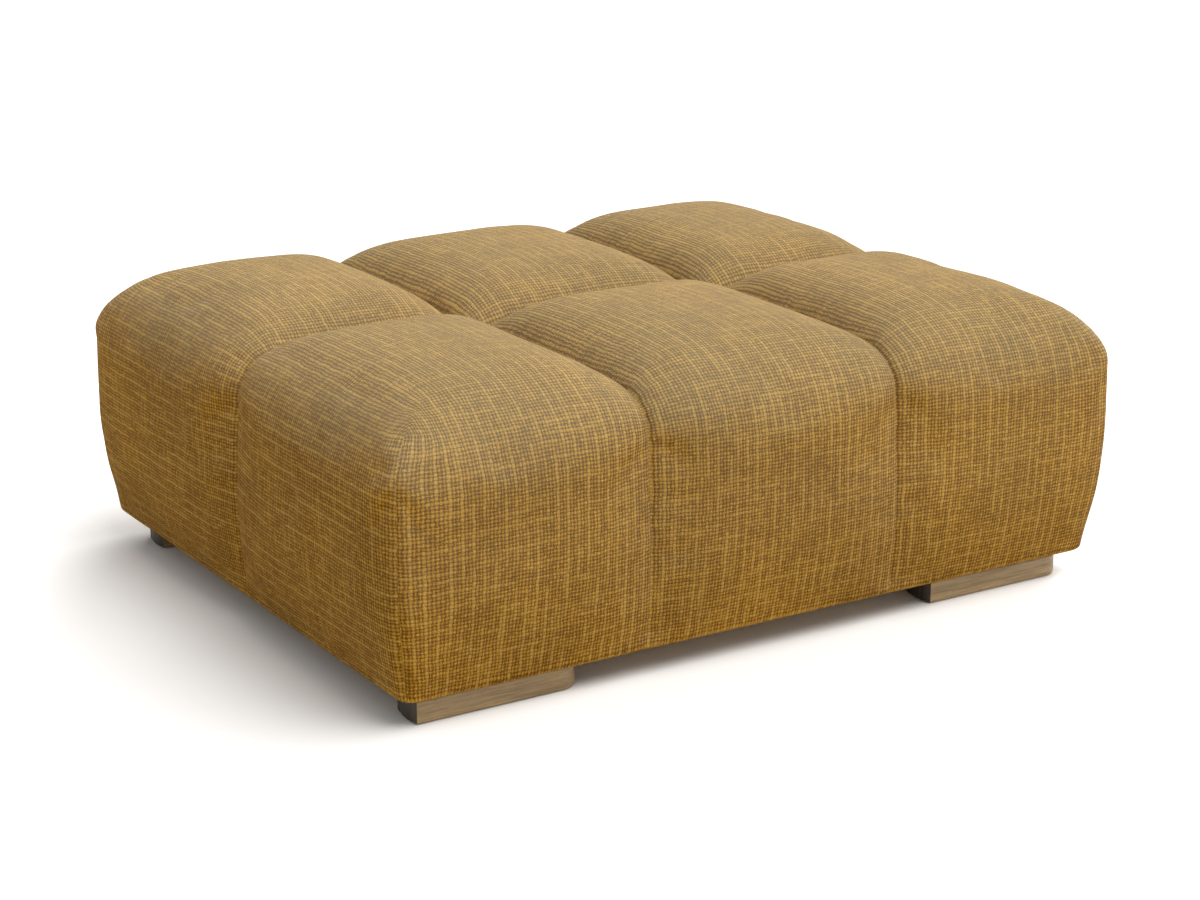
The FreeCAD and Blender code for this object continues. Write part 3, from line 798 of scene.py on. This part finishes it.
        pinch = pinch * (1 - ramp(out[:, 2], 0.15, 0.5))
        wide, fine = self.lumps_per_metre
        places = [Vector(point) for point in points]
        lumps = np.array([noise.noise(p * wide) + 0.5 * noise.noise(p * fine) for p in places])
        still = ramp(points[:, 2], self.hem, self.hem + self.hem_zone)
        raised = crown + self.unevenness * lumps - self.seam_depth * pinch
        return points + out * (still * raised - sink * ramp(still, -0.6, 1.0))[:, None]

    def to_channel(self, x0: np.ndarray) -> np.ndarray:
        """Measures how far places along the box are from the nearest channel."""
        return np.min([np.abs(x0 - c) for c in self.channels_x], axis=0)

    def to_seam(self, x0: np.ndarray, y0: np.ndarray) -> np.ndarray:
        """Measures how far places on the box are from the nearest corner seam."""
        return (self.half_x - np.abs(x0)) + (self.half_y - np.abs(y0))

    def panel_grids(self, columns: int, ranks: int, rows: int) -> dict[Panel, np.ndarray]:
        """Numbers the box's points panel by panel.

        Args:
            columns: Number of points along.
            ranks: Number of points across.
            rows: Number of points down a side.

        Returns:
            For each panel a grid of column, rank and row numbers, wound outwards.
        """

        def grid(*numbers: object) -> np.ndarray:
            """Numbers one panel's points."""
            return np.stack(np.meshgrid(*numbers, indexing="ij"), -1).squeeze()

        i, j, k = np.arange(columns), np.arange(ranks), np.arange(rows)
        return {
            Panel.TOP: grid(i, j, [0]),
            Panel.FRONT: grid(i, [0], k)[:, ::-1],
            Panel.REAR: grid(i, [ranks - 1], k),
            Panel.LEFT: grid([0], j, k),
            Panel.RIGHT: grid([columns - 1], j, k)[:, ::-1],
        }

    def flat_place(self, panel: Panel, x0: np.ndarray, y0: np.ndarray, down: np.ndarray) -> np.ndarray:
        """Works out where points of a panel lie on the flat cloth, in metres.

        Args:
            panel: The panel.
            x0: Places along the box.
            y0: Places across the box.
            down: Cloth length from the top edge.

        Returns:
            Two numbers for each point.
        """
        saved = self.edge_round * (1 - math.pi / 4)
        flats = []
        for value, half in ((x0, self.half_x), (y0, self.half_y)):
            over = np.clip(np.abs(value) - half + self.edge_round, 0, None)
            flats.append(value - np.sign(value) * over * (1 - math.pi / 4))
        if panel in (Panel.LEFT, Panel.RIGHT):
            flats[0] = (self.half_x - saved + down) * (-1 if panel is Panel.LEFT else 1)
        elif panel in (Panel.FRONT, Panel.REAR):
            flats[1] = (self.half_y - saved + down) * (-1 if panel is Panel.FRONT else 1)
        return np.stack(flats, axis=-1)

    def cloth_mesh(self) -> tuple[bpy.types.Mesh, np.ndarray]:
        """Builds the cover's outer cloth.

        Returns:
            The mesh, and for each point how firmly it is held by a seam, a channel or the hem.
        """
        xs, ys = self.lines()
        rows = self.rows()
        grids = self.panel_grids(len(xs), len(ys), len(rows["box"]))
        flat_keys = np.concatenate([grid.reshape(-1, 3) for grid in grids.values()])
        keys, where = np.unique(flat_keys, axis=0, return_inverse=True)
        where = where.reshape(-1)
        x0, y0 = xs[keys[:, 0]], ys[keys[:, 1]]
        row = {name: values[keys[:, 2]] for name, values in rows.items()}
        points, out = self.bend(x0, y0, row)
        points = self.shape_cells(points, out, x0, y0)
        fall = np.concatenate([[0.0], np.cumsum(np.abs(np.diff(rows["box"])) + np.diff(rows["inset"]))])
        bent = np.minimum(fall, self.edge_round)
        down = bent * math.pi / 4 + (fall - bent)
        under = len(self.under_lengths)
        down[-under:] = down[-under - 1] + np.array(self.under_lengths)
        faces = []
        places = []
        start = 0
        for panel, grid in grids.items():
            shape = grid.shape[:2]
            count = shape[0] * shape[1]
            numbers = where[start : start + count].reshape(shape)
            start += count
            flat = self.flat_place(panel, xs[grid[..., 0]], ys[grid[..., 1]], down[grid[..., 2]])
            for values, bucket in ((numbers, faces), (flat, places)):
                ring = (values[:-1, :-1], values[1:, :-1], values[1:, 1:], values[:-1, 1:])
                bucket.append(np.stack(ring, axis=2).reshape((-1, 4) + values.shape[2:]))
        mesh = bpy.data.meshes.new("cover")
        mesh.from_pydata(points.tolist(), [], np.concatenate(faces).tolist())
        uv = mesh.uv_layers.new(name=WEAVE_MAP)
        uv.data.foreach_set("uv", np.concatenate(places).reshape(-1))
        in_channel = np.minimum(self.to_channel(x0), np.abs(y0)) < self.channel_hold
        in_seam = (self.to_seam(x0, y0) < self.seam_hold) & (row["box"] < self.top - self.edge_round / 2)
        held = np.where(in_channel | in_seam, 1.0, 0.0)
        hem_hold = 1 - ramp(points[:, 2], self.hem + self.channel_hold, self.hem + self.hem_zone)
        held = np.maximum(held, hem_hold)
        return mesh, held

    def swell(self, piece: bpy.types.Object, held: np.ndarray) -> None:
        """Blows the foam up under the cloth by a short simulation, and keeps what it gives within a limit.

        Args:
            piece: The cloth.
            held: How firmly each point is held.
        """
        grip = piece.vertex_groups.new(name="held")
        for number in np.flatnonzero(held > 0.01):
            grip.add([int(number)], float(held[number]), "REPLACE")
        cloth = piece.modifiers.new("cloth", "CLOTH")
        settings = cloth.settings
        settings.use_pressure = True
        settings.uniform_pressure_force = self.pressure
        settings.effector_weights.gravity = 0.0
        settings.quality = 4
        settings.mass = 0.4
        settings.tension_stiffness = settings.compression_stiffness = 25
        settings.bending_stiffness = 2.0
        settings.vertex_group_mass = grip.name
        cloth.point_cache.frame_start = 1
        cloth.point_cache.frame_end = self.swell_frames
        scene = bpy.context.scene
        for step in range(1, self.swell_frames + 1):
            scene.frame_set(step)
        shaped = piece.evaluated_get(bpy.context.evaluated_depsgraph_get())
        count = len(piece.data.vertices)
        swollen = np.empty(count * 3)
        shaped.data.vertices.foreach_get("co", swollen)
        start = np.empty(count * 3)
        piece.data.vertices.foreach_get("co", start)
        move = (swollen - start).reshape(-1, 3)
        size = np.linalg.norm(move, axis=1)
        LOG.info("cover swell: mean %.1f mm, most %.1f mm", size.mean() * 1000, size.max() * 1000)
        kept = self.swell_limit * np.tanh(size / self.swell_limit)
        move *= (kept / np.maximum(size, 1e-9))[:, None]
        piece.modifiers.clear()
        piece.vertex_groups.clear()
        piece.data.vertices.foreach_set("co", start + move.reshape(-1))
        scene.frame_set(1)

    def close(self, mesh: bpy.types.Mesh) -> None:
        """Closes the form round the wooden frame: under the boards, up outside them and over the top.

        Args:
            mesh: The cloth, whose open edge lies at the boards' inner faces.
        """
        low, high = self.boards()
        gap = self.closing_gap
        left, right, front, rear = self.inner_hem()
        shell = bmesh.new()
        shell.from_mesh(mesh)
        edges = [edge for edge in shell.edges if edge.is_boundary]
        under = self.hem + self.cloth_thickness + gap
        targets = [((left, right, front, rear), under)]
        outside = (low.x - gap, high.x + gap, low.y - gap, high.y + gap)
        targets += [(outside, under), (outside, high.z + gap)]
        for (x_low, x_high, y_low, y_high), z in targets:
            made = bmesh.ops.extrude_edge_only(shell, edges=edges)["geom"]
            edges = [item for item in made if isinstance(item, bmesh.types.BMEdge)]
            for vertex in {v for edge in edges for v in edge.verts}:
                share_x = (vertex.co.x - left) / (right - left)
                share_y = (vertex.co.y - front) / (rear - front)
                vertex.co = (x_low + (x_high - x_low) * share_x, y_low + (y_high - y_low) * share_y, z)
            left, right, front, rear = x_low, x_high, y_low, y_high
        bmesh.ops.contextual_create(shell, geom=edges)
        bmesh.ops.recalc_face_normals(shell, faces=shell.faces)
        shell.to_mesh(mesh)
        shell.free()

    def build(self, finish: SlubCloth) -> bpy.types.Object:
        """Builds the upholstery and dresses it.

        Args:
            finish: The cover's cloth.

        Returns:
            The finished piece.
        """
        mesh, held = self.cloth_mesh()
        piece = add_piece("quilted_cover", mesh, finish.material(), "hood")
        self.swell(piece, held)
        with_modifier(piece, "SUBSURF", levels=1, render_levels=1)
        self.close(piece.data)
        shade_smooth(piece.data)
        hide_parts("cover", *sorted(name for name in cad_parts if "_pad_" in name))
        return piece


# ---------------------------------------------------------------- feet


@dataclass
class Feet:
    """Four low oak blocks with one crisp corner, a bowed outer end and eased edges."""

    corner_round: float = 0.028
    bow: float = 0.003
    ease: float = 0.002
    arc_steps: int = 10
    bow_steps: int = 6
    end_slope: float = 0.8

    def outline(self, low: Vector, high: Vector) -> list[tuple[float, float]]:
        """Plan of one foot, starting at its crisp corner and going round to the right.

        Args:
            low: Lowest corner of the foot's space.
            high: Highest corner of the foot's space.

        Returns:
            The plan's points.
        """
        r, bow = self.corner_round, self.bow
        x0, x1, y0, y1 = low.x + bow, high.x - bow, low.y, high.y
        quarter = [math.pi / 2 * step / self.arc_steps for step in range(self.arc_steps + 1)]
        right = [(x1 - r + r * math.sin(a), y0 + r - r * math.cos(a)) for a in quarter]
        bowed = [step / self.bow_steps for step in range(1, self.bow_steps)]
        right_end = [(x1 + bow * 4 * t * (1 - t), y0 + r + (y1 - y0 - r) * t) for t in bowed]
        left = [(x0 + r - r * math.sin(a), y1 - r + r * math.cos(a)) for a in quarter]
        left_end = [(x0 - bow * 4 * t * (1 - t), y1 - r - (y1 - y0 - r) * t) for t in bowed]
        return [(x0, y0), *right, *right_end, (x1, y1), *left, *left_end]

    def mesh(self, node: str) -> bpy.types.Mesh:
        """Builds one foot: a block with its top and bottom edges eased, end faces marked as end grain.

        Args:
            node: The foot's name in the frame.

        Returns:
            Its mesh.
        """
        low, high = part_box(node)
        plan = self.outline(low, high)
        centre = Vector(((low.x + high.x) / 2, (low.y + high.y) / 2))
        steps = [(self.ease, 0.0), (self.ease * 0.3, self.ease * 0.3), (0.0, self.ease)]
        levels = [(inset, low.z + rise) for inset, rise in steps]
        levels += [(inset, high.z - rise) for inset, rise in reversed(steps)]
        block = bmesh.new()
        rings = []
        for inset, z in levels:
            shrink_x = 1 - inset / ((high.x - low.x) / 2)
            shrink_y = 1 - inset / ((high.y - low.y) / 2)
            ring = []
            for x, y in plan:
                place = (centre.x + (x - centre.x) * shrink_x, centre.y + (y - centre.y) * shrink_y, z)
                ring.append(block.verts.new(place))
            rings.append(ring)
        for lower, upper in zip(rings, rings[1:]):
            for i, vertex in enumerate(lower):
                after = (i + 1) % len(lower)
                block.faces.new((vertex, lower[after], upper[after], upper[i]))
        block.faces.new(list(reversed(rings[0])))
        block.faces.new(rings[-1])
        bmesh.ops.recalc_face_normals(block, faces=block.faces)
        for face in block.faces:
            face.material_index = 1 if abs(face.normal.x) > self.end_slope else 0
        return as_mesh(node + "_oak", block)

    def build(self, face: Timber, end: Timber) -> None:
        """Builds and dresses all four feet.

        Args:
            face: Finish of the long faces.
            end: Finish of the end grain.
        """
        long_grain = face.material()
        end_grain = end.material()
        for node in ("foot_" + corner for corner in CORNERS):
            piece = add_piece(node + "_oak", self.mesh(node), long_grain, "base")
            piece.data.materials.append(end_grain)
            shade_smooth(piece.data, False)
            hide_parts(node)


# ---------------------------------------------------------------- soft sheets inside


@dataclass
class InsideCloths:
    """The dust cloth under the top board and the felt mat on the box floor."""

    lining_sag: float = 0.0012
    pucker_spacing: float = 0.06
    lining_thickness: float = 0.0007
    mat_wave: float = 0.0006
    step: float = 0.012
    clearance: float = 0.0001

    def sheet_mesh(self, name: str, low: Vector, high: Vector) -> bpy.types.Mesh:
        """Builds a flat rectangular grid at the bottom of a space.

        Args:
            name: The mesh's name.
            low: Lowest corner of its space.
            high: Highest corner of its space.

        Returns:
            The mesh.
        """
        columns = int((high.x - low.x) / self.step)
        ranks = int((high.y - low.y) / self.step)
        xs = np.linspace(low.x, high.x, columns)
        ys = np.linspace(low.y, high.y, ranks)
        grid = bmesh.new()
        vertices = [[grid.verts.new((x, y, low.z)) for y in ys] for x in xs]
        for i in range(columns - 1):
            for j in range(ranks - 1):
                near, far = vertices[i], vertices[i + 1]
                grid.faces.new((near[j], far[j], far[j + 1], near[j + 1]))
        return as_mesh(name, grid)

    def build_lining(self, finish: DustCloth) -> None:
        """Builds the dust cloth, stapled flat under the top board and puckered a little at its edges.

        Args:
            finish: The cloth.
        """
        low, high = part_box("hood_lining")
        mesh = self.sheet_mesh("dust_cloth", low, high)
        for vertex in mesh.vertices:
            x, y = vertex.co.x, vertex.co.y
            edge = min(x - low.x, high.x - x, y - low.y, high.y - y)
            turn = 2 * math.pi / self.pucker_spacing
            pucker = 0.35 * math.cos(turn * x) * math.cos(turn * y) * math.exp(-edge / 0.02)
            lumps = 0.6 + 0.8 * noise.noise(Vector((x, y, 0.0)) * 6.0)
            sag = self.lining_sag * abs(pucker + 0.65 * (1 - math.exp(-edge / 0.05)) * lumps)
            vertex.co.z = high.z - self.lining_thickness - self.clearance - sag
        piece = add_piece("lining_dust_cloth", mesh, finish.material(), "hood")
        with_modifier(piece, "SOLIDIFY", thickness=self.lining_thickness, offset=1.0)
        shade_smooth(piece.data)
        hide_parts("hood_lining")

    def build_mat(self, finish: Felt) -> None:
        """Builds the felt mat that lies loose on the box floor.

        Args:
            finish: The felt.
        """
        low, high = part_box("box_floor_mat")
        mesh = self.sheet_mesh("felt_mat", low, high)
        thickness = high.z - low.z
        for vertex in mesh.vertices:
            lift = noise.noise(Vector((vertex.co.x, vertex.co.y, 0.0)) * 9.0)
            vertex.co.z = low.z + self.clearance + self.mat_wave * max(lift, 0.0)
        piece = add_piece("felt_floor_mat", mesh, finish.material(), "base")
        with_modifier(piece, "SOLIDIFY", thickness=thickness - self.mat_wave, offset=1.0)
        with_modifier(piece, "BEVEL", width=0.0008, segments=2, limit_method="ANGLE")
        shade_smooth(piece.data)
        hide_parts("box_floor_mat")


# ---------------------------------------------------------------- carried-over parts


@dataclass
class Joinery:
    """Finishes of the hood's frame, the base and the storage box."""

    sides: tuple[str, ...] = ("front", "rear", "left", "right")

    def dress(self) -> None:
        """Gives each board its own plies and each post its grain."""
        hood = [f"hood_{side}_board" for side in ("top", *self.sides)]
        box = [f"box_{side}_panel" for side in self.sides]
        for node in (*hood, "base_panel", *box):
            low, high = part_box(node)
            spans = [high[axis] - low[axis] for axis in range(3)]
            through = Axis(spans.index(min(spans)))
            along = Axis(spans.index(max(spans)))
            ply = Plywood(node + "_plywood", through, low[through.value], min(spans), along)
            dress_node(node, ply.material())
        tones = ((0.42, 0.27, 0.13), (0.62, 0.45, 0.25))
        pine = Timber("post_pine", *tones, Axis.Z, rings=30.0, pores=0.1, roughness=0.65, coat=0.0).material()
        for corner in CORNERS:
            dress_node("hood_post_" + corner, pine)


@dataclass
class Hardware:
    """Finishes of the hinge, the gas struts, the fasteners and the small mouldings."""

    sides: tuple[str, str] = ("left", "right")

    def dress(self) -> None:
        """Gives every metal, rubber and plastic node its material."""
        zinc = Metal("zinc_plate", (0.56, 0.56, 0.55), (0.38, 0.37, 0.35), roughness=0.34, wear=0.6)
        rolled = Metal("rolled_steel", (0.50, 0.50, 0.50), (0.30, 0.29, 0.27), roughness=0.3, wear=0.8)
        black = Metal("satin_black", (0.018, 0.018, 0.019), (0.12, 0.12, 0.12), 0.0, 0.38, 0.5, 0.2)
        tube = Metal("strut_enamel", (0.012, 0.012, 0.013), (0.08, 0.08, 0.08), 0.0, 0.26, 0.35, 0.5)
        chrome = Metal("rod_chrome", (0.70, 0.70, 0.71), (0.5, 0.5, 0.5), roughness=0.12, wear=0.25)
        rubber = Moulded("buffer_rubber", (0.022, 0.021, 0.02), (0.07, 0.068, 0.065), 0.72)
        glide = Moulded("glide_plastic", (0.075, 0.062, 0.048), (0.16, 0.14, 0.12), 0.5)
        screws = [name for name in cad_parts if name.endswith("_screws")]
        strut = "strut_{}_{}".format
        groups = (
            (zinc, (*screws, "foot_bolts")),
            (rolled, ("hinge_base_leaf", "hinge_hood_leaf", "hinge_pin")),
            (black, [strut(side, part) for side in self.sides for part in ("base_bracket", "hood_bracket")]),
            (tube, [strut(side, "cylinder") for side in self.sides]),
            (chrome, [strut(side, "rod") for side in self.sides]),
            (rubber, ["hood_buffers"]),
            (glide, ["foot_glides"]),
        )
        for finish, nodes in groups:
            material = finish.material()
            for node in nodes:
                dress_node(node, material)


def dress_node(node: str, material: bpy.types.Material) -> None:
    """Gives a carried-over part a new material, and leaves its shape alone.

    Args:
        node: The part's name in the frame.
        material: Its new material.
    """
    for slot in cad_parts[node].material_slots:
        slot.material = material
    LOG.info("%s: dressed in %s", node, material.name)


# ---------------------------------------------------------------- studio


@dataclass
class Studio:
    """Pale floor, soft light from above and from behind on the right, and the camera."""

    floor_half: float = 40.0
    heading: float = 32.2
    tilt: float = 16.95
    distance: float = 3.56
    aim: Place = (0.006, -0.015, 0.1515)
    lens: float = 78.0
    sky: float = 0.46
    key: float = 2.8
    key_from: Place = (0.30, -0.42, 1.0)
    key_spread: float = 50.0
    rim: float = 2.6
    rim_from: Place = (0.90, 0.70, 0.50)
    rim_spread: float = 45.0

    def build_floor(self) -> None:
        """Lays the floor."""
        slab = bmesh.new()
        bmesh.ops.create_grid(slab, x_segments=8, y_segments=8, size=self.floor_half)
        mesh = as_mesh("studio_floor", slab)
        floor = place_object("studio_floor", mesh)
        w = Surface("studio_paper")
        tone = w.smooth(w.speckle(w.place, 0.6), 0.3, 0.7, 0.95, 0.96)
        w.set(Base_Color=w.join(tone, tone, tone), Roughness=0.9, Specular_IOR_Level=0.1)
        mesh.materials.append(w.material)

    def add_sun(self, name: str, strength: float, come_from: Place, spread: float) -> None:
        """Adds one broad, far-off light.

        Args:
            name: The light's name.
            strength: Its power on a surface that faces it.
            come_from: Direction that it comes from.
            spread: How wide it looks, in degrees.
        """
        lamp = bpy.data.lights.new(name, "SUN")
        lamp.energy = strength
        lamp.angle = math.radians(spread)
        lamp.color = (1.0, 0.985, 0.96)
        sun = place_object(name, lamp)
        sun.rotation_euler = Vector(come_from).to_track_quat("Z", "Y").to_euler()

    def build_lights(self) -> None:
        """Sets the soft key and rim lights and an even sky that shows as white paper."""
        self.add_sun("key_light", self.key, self.key_from, self.key_spread)
        self.add_sun("rim_light", self.rim, self.rim_from, self.rim_spread)
        world = bpy.data.worlds.new("studio_sky")
        bpy.context.scene.world = world
        world.use_nodes = True
        world.node_tree.nodes.clear()
        w = Wiring(world.node_tree)
        seen = w.add("LightPath").outputs["Is Camera Ray"]
        sky = w.add("Background", Color=(1.0, 1.0, 1.0), Strength=w.blend(seen, self.sky, 1.0))
        w.add("OutputWorld", Surface=sky.outputs[0])

    def build_camera(self) -> None:
        """Places the camera in front and to the left, looking down a little."""
        heading = math.radians(self.heading)
        tilt = math.radians(self.tilt)
        level = math.cos(tilt)
        ahead = Vector((math.sin(heading) * level, math.cos(heading) * level, -math.sin(tilt)))
        lens = bpy.data.cameras.new("camera")
        lens.lens = self.lens
        lens.clip_start = 0.05
        lens.clip_end = 200.0
        camera = place_object("camera", lens)
        camera.location = Vector(self.aim) - ahead * self.distance
        camera.rotation_euler = ahead.to_track_quat("-Z", "Y").to_euler()
        bpy.context.scene.camera = camera

    def build(self) -> None:
        """Builds the floor, the lights and the camera, and sets plain colours."""
        self.build_floor()
        self.build_lights()
        self.build_camera()
        bpy.context.scene.view_settings.view_transform = "Standard"


def main() -> None:
    """Builds the studio and then each sub-assembly in turn."""
    logging.basicConfig(level=logging.INFO, format="%(message)s")
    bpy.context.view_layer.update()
    Studio().build()
    Cover().build(SlubCloth())
    smoked = Timber("smoked_oak", (0.19, 0.12, 0.048), (0.37, 0.25, 0.11), Axis.X, 70.0, 0.7, 0.48, 0.15)
    end = Timber("smoked_oak_end", (0.018, 0.012, 0.007), (0.06, 0.042, 0.025), Axis.Z, 90.0, 0.9, 0.6, 0.1)
    Feet().build(smoked, end)
    cloths = InsideCloths()
    cloths.build_lining(DustCloth())
    cloths.build_mat(Felt())
    Joinery().dress()
    Hardware().dress()


if __name__ == "__main__":
    main()
